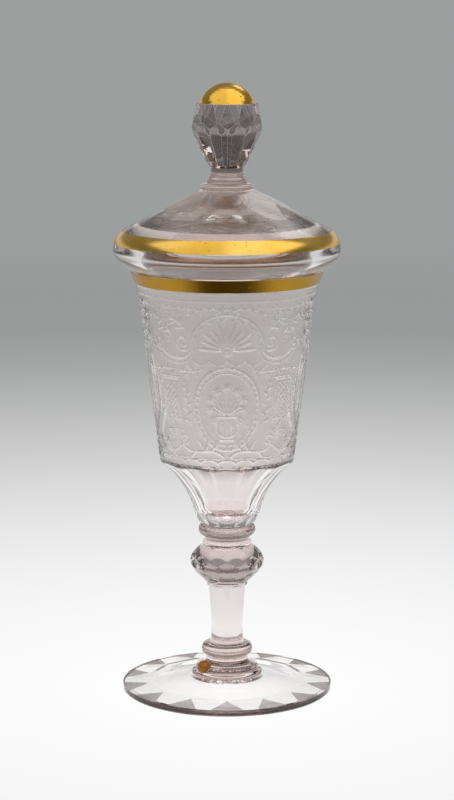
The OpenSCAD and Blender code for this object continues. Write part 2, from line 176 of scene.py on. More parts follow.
# Radii at which the border and its outer edge, painted almost black as shade, begin, and the areas between
# which its matt faces lie
border_from, edge_from = 0.0385, 0.0505
matt_least, matt_most = 1e-5, 1.3e-4
foot = glass_copy("foot", "cut_foot")
fused(foot, [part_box("stem_base")[0][2]], foot_glass)
grounds = polish(foot, 20, matt_least)
foot.data.materials.append(matt_glass)
foot.data.materials.append(rim_painted_shade)
for face, ground in zip(foot.data.polygons, grounds):
    out = math.hypot(*face.center.xy)
    if matt_least < ground < matt_most and face.normal.z > 0.9 and out > border_from:
        face.material_index = 2
    # Upright faces of the outer edge get the painted shade
    elif abs(face.normal.z) < 0.9 and out > edge_from:
        face.material_index = 3
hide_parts("foot")
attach(foot, "goblet")


# Stem
# Five turned pieces and a faceted knop, each gathered and joined hot on the one below, so the glass
# runs through them all. The thick rings and the knop hold the most colour.

def ease_arrises(piece, ground_above, width):
    """Runs each ground face's triangles together and wears the sharpness off the arrises between them. The
    bevels get the worn arris glass: rougher from wear, with a lighter tint that is a painted highlight.
    """
    sharp = math.cos(math.radians(7))
    mesh = piece.data
    mesh.materials.append(worn_and_highlit)
    for dissolve in (True, False):
        member, area = ground_faces(mesh)
        faces_at = {}
        for face in mesh.polygons:
            for edge in face.edge_keys:
                faces_at.setdefault(edge, []).append(face.index)
        select_none(mesh)
        for edge in mesh.edges:
            a, b = faces_at[edge.key]
            if min(area[a], area[b]) < ground_above:
                continue
            if dissolve:
                edge.select = bool(member[a] == member[b])
            else:
                edge.select = mesh.polygons[a].normal.dot(mesh.polygons[b].normal) < sharp
        bpy.ops.object.mode_set(mode="EDIT")
        bpy.ops.mesh.select_mode(type="EDGE")
        if dissolve:
            bpy.ops.mesh.dissolve_edges(use_verts=True)
        else:
            bpy.ops.mesh.bevel(offset=width, segments=2, affect="EDGES", clamp_overlap=False,
                               material=len(mesh.materials) - 1)
        bpy.ops.object.mode_set(mode="OBJECT")


ring_glass = cut_glass("ring_glass", (0.57, 0.455, 0.435), (0.50, 0.39, 0.37))
base_glass = cut_glass("base_glass", (0.66, 0.485, 0.45), (0.58, 0.415, 0.385))
thick_ring_glass = cut_glass("thick_ring_glass", (0.42, 0.335, 0.32), (0.37, 0.29, 0.275))
collar_glass = cut_glass("collar_glass", (0.82, 0.70, 0.68), (0.76, 0.63, 0.61))
stem_glass = cut_glass("stem_glass", (0.78, 0.735, 0.73), (0.74, 0.69, 0.685))
knop_glass = cut_glass("knop_glass", (0.66, 0.56, 0.55), (0.58, 0.48, 0.47))
# The worn arrises are rougher from wear, and their lighter tint is a painted highlight along the edges.
worn_and_highlit = cut_glass("worn_arris_and_highlight", (0.95, 0.90, 0.89), (0.90, 0.84, 0.83), rough=0.3)
# Least area of a ground face of the knop, and the width of a worn arris
knop_face, knop_arris = 4e-6, 0.0003
for node, name, surface in (("stem_base", "turned_stem_base", base_glass),
                            ("lower_ring", "turned_lower_ring", ring_glass),
                            ("stem_column", "turned_column", stem_glass),
                            ("stem_knop", "cut_knop", knop_glass),
                            ("knop_collar", "turned_collar", collar_glass),
                            ("upper_ring", "turned_upper_ring", thick_ring_glass)):
    piece = glass_copy(node, name)
    fused(piece, [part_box(node)[0][2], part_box(node)[1][2]], surface)
    if node == "stem_knop":
        ease_arrises(piece, knop_face, knop_arris)
    polish(piece, 12 if node == "stem_knop" else 30, knop_face)
    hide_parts(node)
    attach(piece, "goblet")


# Lacquer drop
# An old drop of amber lacquer that ran down and set against the stem base. It is cloudy, and lets some
# light through.
amber = bpy.data.materials.new("amber_lacquer")
amber.use_nodes = True
nodes, links = amber.node_tree.nodes, amber.node_tree.links
shader = nodes["Principled BSDF"]
shader.inputs["Roughness"].default_value = 0.12
shader.inputs["Transmission Weight"].default_value = 0.6
place = nodes.new("ShaderNodeTexCoord")
cloud = nodes.new("ShaderNodeTexNoise")
cloud.inputs["Scale"].default_value = 600.0
ramp = nodes.new("ShaderNodeValToRGB")
ramp.color_ramp.elements[0].color = (0.86, 0.34, 0.01, 1)
ramp.color_ramp.elements[1].color = (0.42, 0.12, 0.005, 1)
links.new(place.outputs["Object"], cloud.inputs["Vector"])
links.new(cloud.outputs["Fac"], ramp.inputs["Fac"])
links.new(ramp.outputs["Color"], shader.inputs["Base Color"])
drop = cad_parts["lacquer_drop"]
drop.data.materials.clear()
drop.data.materials.append(amber)


# Bowl
# A blown cup with a fluted foot and a round drum. The drum is matt from the wheel and engraved with
# shells, scrolls, leaf sprays, a beaded medallion and strapwork, with the deeper lines polished.

def sweep(p, q, r, s, n=24):
    """Points on a smooth curve from p to s that leaves towards q and arrives from r."""
    t = np.linspace(0, 1, n + 1)[:, None]
    w = 1 - t
    p, q, r, s = np.array(p), np.array(q), np.array(r), np.array(s)
    return w**3 * p + 3 * w * w * t * q + 3 * w * t * t * r + t**3 * s


def bow(x, y, rx, ry, start, end, n=24):
    """Points on an arc of an oval about x, y."""
    a = np.radians(np.linspace(start, end, n + 1))
    return np.column_stack([x + rx * np.cos(a), y + ry * np.sin(a)])


def curl(x, y, size, turns, start, way, n=40):
    """Points on a scroll that winds in to x, y."""
    t = np.linspace(0, 1, n + 1)
    a = np.radians(start) + way * 2 * np.pi * turns * t
    r = size * (1 - 0.86 * t)
    return np.column_stack([x + r * np.cos(a), y + r * np.sin(a)])


class Wheel:
    """The strokes of an engraver's wheel: each a line with half its width, its depth and its polish."""

    def __init__(self):
        self.strokes = []

    def cut(self, line, half, deep, shine=1.0, taper=False):
        """One stroke, all in mm; taper thins it to both ends."""
        self.strokes.append((np.array(line, dtype=float), half, deep, shine, taper))

    def pair(self, line, *how, **more):
        """A stroke and its mirror image."""
        line = np.array(line, dtype=float)
        self.cut(line, *how, **more)
        self.cut(line * (-1, 1), *how, **more)

    def leaf(self, x, y, angle, length, half, deep, bend=0.0):
        """A matt leaf with a polished midrib, and its mirror image."""
        a = math.radians(angle)
        tip = (x + length * math.cos(a), y + length * math.sin(a))
        mid = ((x + tip[0]) / 2 - bend * math.sin(a), (y + tip[1]) / 2 + bend * math.cos(a))
        line = sweep((x, y), mid, mid, tip, 10)
        self.pair(line, half, deep, shine=0.35, taper=True)
        self.pair(line, 0.35, deep + 0.08)

    def spray(self, stem, long, half, deep):
        """A stem with leaves on both sides that grow smaller to its tip."""
        self.pair(stem, 0.35, deep)
        for i in range(2, len(stem) - 1, 3):
            lean = math.degrees(math.atan2(*(stem[i + 1] - stem[i - 1])[::-1]))
            lean += 55 if i // 3 % 2 else -55
            self.leaf(*stem[i], lean, long * (1 - 0.5 * i / len(stem)), half, deep)

    def marks(self, u, v):
        """Depth in mm and polish from 0 to 1 at the points u, v."""
        depth, shine_at = np.zeros_like(u), np.zeros_like(u)
        for line, half, deep, shine, taper in self.strokes:
            low, high = line.min(axis=0) - half, line.max(axis=0) + half
            near = (u > low[0]) & (u < high[0]) & (v > low[1]) & (v < high[1])
            if not near.any():
                continue
            x, y = u[near], v[near]
            gap, along = np.full_like(x, 1e9), np.zeros_like(x)
            for i, (a, b) in enumerate(zip(line[:-1], line[1:])):
                dx, dy = b - a
                t = np.clip(((x - a[0]) * dx + (y - a[1]) * dy) / (dx * dx + dy * dy + 1e-12), 0, 1)
                d = np.hypot(x - a[0] - t * dx, y - a[1] - t * dy)
                closer = d < gap
                gap[closer] = d[closer]
                along[closer] = (i + t[closer]) / (len(line) - 1)
            width = half * (np.sin(np.pi * np.clip(along, 0.02, 0.98)) ** 0.6 if taper else 1.0)
            cut = np.clip(1 - (gap / width) ** 2, 0, 1)
            depth[near] = np.maximum(depth[near], deep * cut)
            shine_at[near] = np.maximum(shine_at[near], shine * np.clip(1.6 * cut, 0, 1))
        return depth, shine_at


# The drawing is laid out in mm, along a circle of this radius and up from the foot of the drum
drum_radius = 39
drum = Wheel()
# Border under the gold: a fine ring and a row of small scallops with drops
drum.cut([(-70, 83), (70, 83)], 0.45, 0.14)
for k in range(-15, 16):
    drum.cut(bow(k * 4.08, 80.6, 2.0, 1.7, 180, 360, 8), 0.4, 0.12)
    drum.cut([(k * 4.08, 77.6), (k * 4.08, 77.0)], 0.5, 0.16)
# Shell over the medallion, with a double rim
for k in range(11):
    angle = 4 + 17.2 * k
    a = math.radians(angle)
    long = 14.2 if k % 2 == 0 else 12.2
    drum.cut([(2.6 * math.cos(a), 59 + 2.6 * math.sin(a)), (long * math.cos(a), 59 + long * math.sin(a))],
             1.15, 0.26, shine=0.5, taper=True)
    drum.cut(bow(14.6 * math.cos(a), 59 + 14.6 * math.sin(a), 1.7, 1.7, angle - 80, angle + 80, 6),
             0.4, 0.15)
drum.cut(bow(0, 59, 17.6, 17.4, -4, 184, 40), 0.5, 0.2)
drum.cut(bow(0, 59, 2.2, 2.2, 0, 360), 0.55, 0.22)
drum.cut(bow(0, 59, 0.7, 0.7, 0, 360, 8), 0.5, 0.2)
# Volutes beside the shell, and tendrils with leaves over them
drum.pair(curl(21.2, 62.4, 4.2, 1.6, 200, 1), 0.55, 0.22)
drum.pair(sweep((17.4, 60.6), (18, 53), (29, 53), (34, 58.5)), 0.6, 0.24)
drum.pair(sweep((16.6, 57.0), (18, 50.6), (30, 50.6), (36, 56.5)), 0.4, 0.16)
drum.pair(curl(35.6, 61.4, 3.3, 1.4, 250, 1), 0.5, 0.2)
drum.spray(sweep((19, 68), (24, 76), (31, 75), (33, 68)), 4.6, 0.9, 0.22)
drum.spray(sweep((27, 66), (32, 73), (40, 78), (45, 71)), 4.2, 0.8, 0.2)
drum.spray(sweep((39, 62), (44, 60), (48, 66), (46, 74)), 4.0, 0.8, 0.2)
# Beaded oval medallion with an urn of flowers
drum.cut(bow(0, 30, 17.0, 20.4, 0, 360, 60), 0.55, 0.22)
drum.cut(bow(0, 30, 14.6, 18.0, 0, 360, 60), 0.4, 0.16)
for k in range(40):
    a = math.radians(9 * k)
    bead = (15.8 * math.cos(a), 30 + 19.2 * math.sin(a))
    drum.cut([bead, (bead[0] + 0.01, bead[1])], 0.7, 0.2)
drum.pair(sweep((1.6, 16.5), (6.3, 18), (6.6, 22.6), (4.6, 26)), 0.5, 0.2)
drum.cut([(-5.6, 26.3), (5.6, 26.3)], 0.55, 0.22)
drum.cut([(-3.8, 14.8), (3.8, 14.8)], 0.55, 0.22)
drum.cut([(-1.6, 16.4), (1.6, 16.4)], 0.5, 0.2)
for x in (0, 2.2):
    drum.pair([(x, 18.2), (x * 1.25, 24.6)], 0.4, 0.16)
drum.pair(curl(6.7, 24.2, 1.6, 1.1, 150, -1), 0.4, 0.16)
for angle, length in ((90, 14.5), (68, 13.4), (46, 11.6), (24, 9.2)):
    x, y = length * math.cos(math.radians(angle)), 26.6 + length * math.sin(math.radians(angle))
    drum.pair([(0.4, 26.6), (x, y)], 0.35, 0.14)
    for k in range(6):
        a = math.radians(60 * k + angle)
        drum.pair([(x, y), (x + 1.7 * math.cos(a), y + 1.7 * math.sin(a))], 0.65, 0.2, shine=0.6)
for angle in (80, 57, 35):
    drum.leaf(0.8, 27.6, angle, 7, 0.8, 0.2)
for x, y in ((7.4, 17.6), (10.2, 22.0), (11.6, 27.2)):
    drum.pair([(x, y), (x + 0.01, y)], 0.6, 0.16)
# Trellis panels at both sides of the medallion, with tendrils between
drum.pair([(25, 44), (36, 44), (38.6, 41), (38.6, 27), (36, 24), (25, 24), (26.6, 34), (25, 44)], 0.5, 0.2)
drum.pair([(24, 45.2), (36.5, 45.2), (39.8, 41.4), (39.8, 26.6), (36.5, 22.8), (24, 22.8)], 0.35, 0.14)
for k in range(-6, 7):
    x, y = 24 + 2.9 * k + np.linspace(0, 20, 45), np.linspace(24, 44, 45)
    inside = (x > 26.8) & (x < 38) & (y > 24.8) & (y < 43.2)
    if inside.sum() > 1:
        lath = np.column_stack([x, y])[inside][[0, -1]]
        drum.pair(lath, 0.35, 0.14)
        drum.pair(lath * (1, -1) + (0, 68), 0.35, 0.14)
drum.spray(sweep((19, 22), (23.5, 28), (18.5, 36), (22.5, 43)), 3.4, 0.7, 0.18)
drum.spray(sweep((12, 50), (18, 46), (28, 51), (42, 47.6)), 3.4, 0.7, 0.18)
# Festoons between the shell and the medallion, sprigs under the border and fine lines in the open ground
for x in (4.2, 12.4):
    drum.pair(sweep((x - 4, 54.4), (x - 2.2, 51), (x + 2.2, 51), (x + 4, 54.4)), 0.4, 0.15)
    drum.pair([(x, 51.4), (x, 50.2)], 0.55, 0.16)
drum.spray(sweep((2, 78.2), (7, 80.4), (12, 80), (17, 75.6)), 2.6, 0.5, 0.14)
drum.spray(sweep((34, 77.6), (30, 75.4), (24, 78.6), (20, 74)), 2.6, 0.5, 0.14)
for k in range(6):
    drum.pair([(24.4 + 1.2 * (k % 2), 13.6 + 1.3 * k), (38 - 1.6 * (k % 3), 13.6 + 1.3 * k)], 0.28, 0.08)
    drum.pair([(18.6, 45.6 + 1.2 * k), (26 + 2.2 * (k % 3), 45.6 + 1.2 * k)], 0.28, 0.07)
for k in range(5):
    drum.pair(bow(30, 62 + 2.1 * k, 2.4 + 0.3 * (k % 2), 1.1, 20, 160, 8), 0.3, 0.1)
# Scrolls with leaves along the foot of the drum, over fine ground lines and a clear wavy edge
drum.pair(sweep((2, 6.4), (10, 13), (19, 4), (26, 12)), 0.6, 0.24)
drum.pair(curl(23.8, 13.6, 3.3, 1.4, -30, 1), 0.5, 0.2)
drum.pair(sweep((26, 12), (33, 5), (41, 7), (44, 13)), 0.55, 0.22)
drum.pair(curl(41.6, 14.2, 2.8, 1.3, -20, 1), 0.45, 0.18)
for x, y, angle, length in ((8, 9.4, 120, 6), (13, 9, 60, 6), (18, 8, -50, 5), (32, 8.2, -60, 4.5),
                            (36, 8, 80, 7), (29, 17, 70, 6), (12, 9, 100, 5), (34, 8, 40, 6)):
    drum.leaf(x, y, angle, length, 1.0, 0.22, bend=0.6)
for k in range(7):
    drum.pair([(3 + 6.2 * k, 5.4 - 0.3 * (k % 3)), (8 + 6.2 * k, 5.4 - 0.3 * (k % 3))], 0.3, 0.1)
drum.cut([(-70, 0.6), (70, 0.6)], 0.8, 0.15)
for k in range(-6, 7):
    drum.cut(bow(k * 10.2, 2.6, 5.1, 1.7, 0, 180, 10), 0.5, 0.22)
# Deep polished strapwork ovals where the two halves of the drum meet, with leaves over and under them
side = math.pi / 2 * drum_radius
drum.pair(sweep((49, 17), (38.5, 27), (38.5, 45), (49, 55)), 1.3, 0.7)
drum.pair(sweep((50, 19), (56.5, 28), (56.5, 44), (50, 53)), 1.5, 0.7)
drum.pair([(48.5, 24), (48.5, 48)], 1.5, 0.55, taper=True)
drum.pair([(side, 22), (side, 50)], 2.4, 0.6, taper=True)
for y, long in ((57.5, 12), (62.5, 16), (67.5, 13), (72.5, 15), (77, 11),
                (13.5, 14), (9.4, 17), (5.6, 12)):
    lift = 2.4 if y > 35 else -2.0
    blade = sweep((side + 1, y), (side - 5, y - lift), (side - long + 4, y + lift), (side - long, y + lift))
    drum.pair(blade, 1.5, 0.75, taper=True)


def outward(face):
    """Above zero where a face looks away from the axis, below zero where it looks towards it."""
    return face.normal.x * face.center.x + face.normal.y * face.center.y


# Faces that look outward by more than this belong to an outer wall
outer_wall = 1e-4


def engraved_band(piece, low, high, wheel, radius, columns, rows):
    """Cuts the outer face between two heights out of a turned piece and bridges in a finely engraved one.

    radius is that of the circle, in mm, on which the wheel's drawing was laid out. The drawing repeats on
    both halves of the piece.
    """
    mesh = piece.data
    for z in (low, high):
        bpy.ops.object.mode_set(mode="EDIT")
        bpy.ops.mesh.select_all(action="SELECT")
        bpy.ops.mesh.bisect(plane_co=(0, 0, z), plane_no=(0, 0, 1))
        bpy.ops.object.mode_set(mode="OBJECT")
    select_none(mesh)
    line = set()
    for face in mesh.polygons:
        if low < face.center.z < high and outward(face) > outer_wall:
            face.select = True
            line.update((round(mesh.vertices[v].co.z, 6), round(math.hypot(*mesh.vertices[v].co.xy), 6))
                        for v in face.vertices)
    line = np.array(sorted(line))
    bpy.ops.object.mode_set(mode="EDIT")
    bpy.ops.mesh.select_mode(type="FACE")
    bpy.ops.mesh.delete(type="FACE")
    bpy.ops.mesh.select_all(action="DESELECT")
    bpy.ops.mesh.primitive_grid_add(x_subdivisions=columns, y_subdivisions=rows, size=1)
    bpy.ops.object.mode_set(mode="OBJECT")
    co = np.empty(len(mesh.vertices) * 3)
    mesh.vertices.foreach_get("co", co)
    co = co.reshape(-1, 3)
    new = np.zeros(len(mesh.vertices), dtype=bool)
    mesh.vertices.foreach_get("select", new)
    # The grid is wrapped round the axis, and its rows follow the piece's own outline
    margin = 0.0004
    turn = 2 * math.pi * (co[new, 0] + 0.5)
    run = np.concatenate([[0], np.cumsum(np.hypot(np.diff(line[:, 0]), np.diff(line[:, 1])))])
    s = margin + (run[-1] - 2 * margin) * (co[new, 1] + 0.5)
    z, r = np.interp(s, run, line[:, 0]), np.interp(s, run, line[:, 1])
    u = ((turn + math.pi) % math.pi - math.pi / 2) * radius
    depth, shine = wheel.marks(u, s * 1000)
    r = r - depth * 1e-3
    co[new] = np.column_stack([r * np.cos(turn), r * np.sin(turn), z])
    mesh.vertices.foreach_set("co", co.ravel())
    matt = np.zeros(len(mesh.vertices))
    matt[new] = 1 - shine
    mesh.attributes.new("matt", "FLOAT", "POINT").data.foreach_set("value", matt)
    select_none(mesh)
    bpy.ops.object.mode_set(mode="EDIT")
    bpy.ops.mesh.select_mode(type="VERT")
    bpy.ops.mesh.select_all(action="SELECT")
    bpy.ops.mesh.remove_doubles(threshold=1e-7)
    bpy.ops.object.mode_set(mode="OBJECT")
    for lower in (True, False):
        bpy.ops.object.mode_set(mode="EDIT")
        bpy.ops.mesh.select_mode(type="EDGE")
        bpy.ops.mesh.select_all(action="DESELECT")
        bpy.ops.mesh.select_non_manifold(extend=False)
        bpy.ops.object.mode_set(mode="OBJECT")
        for edge in mesh.edges:
            heights = [mesh.vertices[v].co.z for v in edge.vertices]
            edge.select = edge.select and (max(heights) < (low + high) / 2) == lower
        bpy.ops.object.mode_set(mode="EDIT")
        bpy.ops.mesh.bridge_edge_loops()
        bpy.ops.object.mode_set(mode="OBJECT")
    bpy.ops.object.mode_set(mode="EDIT")
    bpy.ops.mesh.select_all(action="SELECT")
    bpy.ops.mesh.normals_make_consistent(inside=False)
    bpy.ops.object.mode_set(mode="OBJECT")


def engraved_glass(name, clear, veined, fine, coarse, clean=0.03):
    """Polished glass that turns matt and grainy where the wheel left its grinding."""
    material = cut_glass(name, clear, veined)
    nodes, links = material.node_tree.nodes, material.node_tree.links
    shader = nodes["Principled BSDF"]
    matt = nodes.new("ShaderNodeAttribute")
    matt.attribute_name = "matt"
    place = nodes.new("ShaderNodeTexCoord")
    grain = nodes.new("ShaderNodeTexNoise")
    grain.inputs["Scale"].default_value = 900.0
    grain.inputs["Detail"].default_value = 4.0
    uneven = nodes.new("ShaderNodeMapRange")
    uneven.inputs["From Min"].default_value = 0.3
    uneven.inputs["From Max"].default_value = 0.7
    uneven.inputs["To Min"].default_value = fine
    uneven.inputs["To Max"].default_value = coarse
    rough = nodes.new("ShaderNodeMix")
    rough.inputs["A"].default_value = clean
    links.new(place.outputs["Object"], grain.inputs["Vector"])
    links.new(grain.outputs["Fac"], uneven.inputs["Value"])
    links.new(matt.outputs["Fac"], rough.inputs["Factor"])
    links.new(uneven.outputs["Result"], rough.inputs["B"])
    links.new(rough.outputs["Result"], shader.inputs["Roughness"])
    return material


bowl_glass = engraved_glass("bowl_glass", (0.965, 0.94, 0.935), (0.93, 0.86, 0.85), 0.32, 0.46)
bowl_glass.node_tree.nodes["Noise Texture"].inputs["Scale"].default_value = 24.0
bowl = glass_copy("bowl", "engraved_bowl")
bowl_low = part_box("bowl")[0][2]
gold_low, gold_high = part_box("bowl_gilding")[0][2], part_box("bowl_gilding")[1][2]
# Height of the drum's foot, the band of the flutes' upper edges (painted dark as shade) with its inner
# radius, and the cup's floor
drum_low = 0.1173
flutes_low, flutes_high, flutes_from = 0.1158, 0.1174, 0.0322
floor_top = bowl_low + 0.0085
engraved_band(bowl, drum_low, gold_low - 0.0005, drum, drum_radius, 540, 160)
fused(bowl, [bowl_low], bowl_glass)
polish(bowl, 14, math.inf)
floor_glass = cut_glass("seedy_floor", (0.90, 0.80, 0.79), (0.72, 0.58, 0.56))
floor_glass.node_tree.nodes["Noise Texture"].inputs["Scale"].default_value = 420.0
floor_glass.node_tree.nodes["Noise Texture.001"].inputs["Scale"].default_value = 700.0
floor_glass.node_tree.nodes["Bump"].inputs["Strength"].default_value = 0.8
bowl.data.materials.append(floor_glass)
# The band along the flutes' upper edges is tinted almost black: painted shade, not the colour of the glass.
bowl.data.materials.append(cut_glass("flute_edge_painted_shade", (0.30, 0.20, 0.195), (0.24, 0.15, 0.145)))
bowl.data.materials.append(cut_glass("cup_glass", (0.85, 0.825, 0.82), (0.81, 0.775, 0.77)))
for face in bowl.data.polygons:
    z, out = face.center.z, outward(face)
    if gold_low < z < gold_high and out > outer_wall:
        face.material_index = 1
    elif z < floor_top and face.normal.z > 0.3:
        face.material_index = 2
    # The flutes' upper edges get the painted shade
    elif flutes_low < z < flutes_high and out > 0 and math.hypot(*face.center.xy) > flutes_from:
        face.material_index = 3
    elif z < flutes_low and out > 0 and face.material_index == 0:
        face.material_index = 4
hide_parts("bowl")
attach(bowl, "goblet")


# Gilding
# Gold fired on and burnished: a band round the bowl's flared lip, the upper half of the lid's roll and the
# dome of the finial. It has small pits. The band's gold is painted darker than the rest, as shade under the
# lid's roll.

def fired_gold(name, rich, pale):
    """Burnished gold that changes slightly in tone, with pits where the grain of the glass shows."""
    material = bpy.data.materials.new(name)
    material.use_nodes = True
    nodes, links = material.node_tree.nodes, material.node_tree.links
    shader = nodes["Principled BSDF"]
    shader.inputs["Metallic"].default_value = 1.0
    place = nodes.new("ShaderNodeTexCoord")
    cloud = nodes.new("ShaderNodeTexNoise")
    cloud.inputs["Scale"].default_value = 45.0
    cloud.inputs["Detail"].default_value = 3.0
    tone = nodes.new("ShaderNodeValToRGB")
    tone.color_ramp.elements[0].position = 0.35
    tone.color_ramp.elements[0].color = (*rich, 1)
    tone.color_ramp.elements[1].position = 0.7
    tone.color_ramp.elements[1].color = (*pale, 1)
    speck = nodes.new("ShaderNodeTexNoise")
    speck.inputs["Scale"].default_value = 700.0
    speck.inputs["Detail"].default_value = 2.0
    pit = nodes.new("ShaderNodeMapRange")
    pit.inputs["From Min"].default_value = 0.66
    pit.inputs["From Max"].default_value = 0.74
    pitted = nodes.new("ShaderNodeMix")
    pitted.data_type = "RGBA"
    pitted.inputs["B"].default_value = (0.22, 0.12, 0.03, 1)
    burnish = nodes.new("ShaderNodeMapRange")
    burnish.inputs["To Min"].default_value = 0.14
    burnish.inputs["To Max"].default_value = 0.30
    bump = nodes.new("ShaderNodeBump")
    bump.invert = True
    bump.inputs["Strength"].default_value = 0.5
    bump.inputs["Distance"].default_value = 0.0001
    links.new(place.outputs["Object"], cloud.inputs["Vector"])
    links.new(place.outputs["Object"], speck.inputs["Vector"])
    links.new(cloud.outputs["Fac"], tone.inputs["Fac"])
    links.new(cloud.outputs["Fac"], burnish.inputs["Value"])
    links.new(speck.outputs["Fac"], pit.inputs["Value"])
    links.new(pit.outputs["Result"], pitted.inputs["Factor"])
    links.new(tone.outputs["Color"], pitted.inputs["A"])
    # Its back, which shows through the glass, is dull and brown
    facing = nodes.new("ShaderNodeNewGeometry")
    level = nodes.new("ShaderNodeVectorMath")
    level.operation = "MULTIPLY"
    level.inputs[1].default_value = (1, 1, 0)
    outward = nodes.new("ShaderNodeVectorMath")
    outward.operation = "DOT_PRODUCT"
    behind = nodes.new("ShaderNodeMath")
    behind.operation = "LESS_THAN"
    behind.inputs[1].default_value = 0.0
    face = nodes.new("ShaderNodeMix")
    face.data_type = "RGBA"
    face.inputs["B"].default_value = (0.50, 0.31, 0.14, 1)
    links.new(place.outputs["Object"], level.inputs[0])
    links.new(level.outputs["Vector"], outward.inputs[0])
    links.new(facing.outputs["True Normal"], outward.inputs[1])
    links.new(outward.outputs["Value"], behind.inputs[0])
    links.new(behind.outputs["Value"], face.inputs["Factor"])
    links.new(pitted.outputs["Result"], face.inputs["A"])
    links.new(face.outputs["Result"], shader.inputs["Base Color"])
    links.new(burnish.outputs["Result"], shader.inputs["Roughness"])
    links.new(pit.outputs["Result"], bump.inputs["Height"])
    links.new(bump.outputs["Normal"], shader.inputs["Normal"])
    return material


gold = fired_gold("fired_gold", (0.74, 0.43, 0.06), (0.84, 0.55, 0.14))
# A copy of the gold at half its brightness for the bowl's band: painted shade under the lid's roll.
shaded_band_gold = fired_gold("shaded_band_gold", (0.36, 0.19, 0.015), (0.41, 0.235, 0.03))
for node, finish in (("bowl_gilding", shaded_band_gold), ("lid_gilding", gold), ("finial_gilding", gold)):
    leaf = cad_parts[node]
    leaf.data.materials.clear()
    leaf.data.materials.append(finish)


# Lid
# A blown cone with a thick rolled rim, cut into flat panels round its crown. Between the panels and
# the gilded roll it is matt and engraved with a running scroll.
cone_radius = 44
cone = Wheel()
for k in range(-6, 7):
    x = 10.2 * k
    cone.cut(sweep((x - 5.1, 3), (x - 1, 14), (x + 1, -2), (x + 5.1, 11)), 0.6, 0.16)
    cone.cut(curl(x + 2.6, 9.4, 2.6, 1.3, -20, 1), 0.5, 0.14)
    cone.cut(curl(x - 2.6, 4.6, 2.6, 1.3, 160, 1), 0.5, 0.14)
    for angle in (60, 110, 250, 300):
        a = math.radians(angle)
        cone.cut([(x, 7), (x + 4 * math.cos(a), 7 + 4 * math.sin(a))], 0.9, 0.16, shine=0.4, taper=True)
for y in (0.8, 14.6):
    cone.cut([(-80, y), (80, y)], 0.4, 0.14)

lid_glass = engraved_glass("lid_glass", (0.84, 0.735, 0.70), (0.76, 0.65, 0.61), 0.16, 0.24, clean=0.08)
lid_glass.node_tree.nodes["Noise Texture.001"].inputs["Scale"].default_value = 380.0
lid_glass.node_tree.nodes["Bump"].inputs["Strength"].default_value = 0.55
ground_glass = engraved_glass("ground_glass", (0.46, 0.365, 0.325), (0.39, 0.305, 0.27), 0.16, 0.24)
lid = glass_copy("lid_shell", "engraved_lid")
roll_low, roll_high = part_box("lid_gilding")[0][2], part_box("lid_gilding")[1][2]
# Height where the engraving ends, height of the crown inside, whose underside is painted darker as shade,
# and the radius from which the roll is gilded
cone_high, crown_from, gilded_from = 0.2365, 0.236, 0.0495
engraved_band(lid, roll_high + 0.0001, cone_high, cone, cone_radius, 480, 32)
fused(lid, [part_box("finial_ring")[0][2]], lid_glass)
lid.data.materials.append(ground_glass)
# The underside of the crown inside is tinted darker than the lid: painted shade; its roughness is the
# glass's own.
lid.data.materials.append(cut_glass("crown_underside_shade", (0.62, 0.48, 0.45), (0.54, 0.41, 0.38), rough=0.3))
lid.data.materials.append(cut_glass("roll_glass", (0.97, 0.945, 0.94), (0.95, 0.915, 0.91)))
polish(lid, 14, 3e-4)
for face in lid.data.polygons:
    z, gilded = face.center.z, math.hypot(*face.center.xy) > gilded_from
    if roll_low < z < roll_high - 5e-5 and outward(face) > outer_wall and gilded:
        face.material_index = 1
    elif roll_high <= z < cone_high and face.normal.z > 0.1:
        face.material_index = 2
    # The crown's underside inside gets the painted shade
    elif z > crown_from and face.normal.z < -0.3:
        face.material_index = 3
    elif z <= roll_low:
        face.material_index = 4
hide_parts("lid_shell")
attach(lid, "lid")


# Finial
# A flat ring, a short neck and an egg of glass, joined hot on the lid. The egg is ground into long flutes
# with crossed faces over them, and its dome is gilded.
finial_glass = cut_glass("finial_glass", (0.34, 0.29, 0.29), (0.28, 0.235, 0.235))
# Least areas of a face with worn arrises and of one that stays flat, the arris' width and the dome's radius
finial_face, finial_flat, finial_arris, dome_radius = 1.5e-6, 1.6e-5, 0.00014, 0.0134
for node, name, surface in (("finial_ring", "turned_finial_ring", ring_glass),
                            ("finial_neck", "turned_finial_neck", ring_glass),
                            ("finial_knob", "cut_finial", finial_glass)):
    piece = glass_copy(node, name)
    joints = [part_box(node)[0][2]]
    if node != "finial_knob":
        joints.append(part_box(node)[1][2])
    fused(piece, joints, surface)
    if node == "finial_knob":
        ease_arrises(piece, finial_face, finial_arris)
    polish(piece, 12 if node == "finial_knob" else 30, finial_flat)
    if node == "finial_knob":
        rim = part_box("finial_gilding")[0][2]
        for face in piece.data.polygons:
            if face.center.z > rim and math.hypot(*face.center.xy) < dome_radius:
                face.material_index = 1
    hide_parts(node)
    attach(piece, "lid")


# Table and light
# A pale table that glows, its painted light fading to grey with distance, in a dim room. Two soft boxes
# hang above the front, a small light stands behind, and a black card lies before the glass.
bpy.ops.object.select_all(action="DESELECT")
table_radius, under_foot = 60, 0.0003
bpy.ops.mesh.primitive_circle_add(vertices=64, radius=table_radius, fill_type="NGON", location=(0, 0, 0))
table = bpy.context.object
table.name = "table"
bpy.ops.object.mode_set(mode="EDIT")
bpy.ops.mesh.select_all(action="SELECT")
bpy.ops.transform.translate(value=(0, 0, -under_foot))
bpy.ops.object.mode_set(mode="OBJECT")
